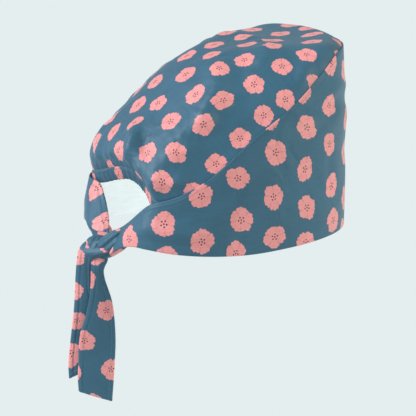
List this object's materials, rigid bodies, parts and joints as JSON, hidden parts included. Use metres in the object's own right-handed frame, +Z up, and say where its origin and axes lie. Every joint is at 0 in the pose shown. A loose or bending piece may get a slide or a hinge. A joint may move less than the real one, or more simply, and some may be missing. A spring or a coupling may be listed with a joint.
{
  "type": "scrub cap",
  "caption": "Tie-back scrub cap: a full crown gathered over a ponytail opening, a wide front band, and a knot at the nape with two hanging tie ends.",
  "frame": {"origin": "centre of the opening for the head, in the plane of the rim", "axes": "+Z up towards the crown's top, +Y to the back of the head and the knot, -X to the wearer's right"},
  "size_m": [0.1619, 0.2146, 0.2649],
  "materials": {
    "printed_cloth": "satin",
    "casing_cloth": "gathered satin"
  },
  "bodies": {
    "root": {"crown": "printed_cloth", "front_band": "printed_cloth", "elastic_casing": "casing_cloth", "knot": "printed_cloth", "tie_end_near": "printed_cloth", "tie_end_far": "printed_cloth"}
  },
  "joints": []
}
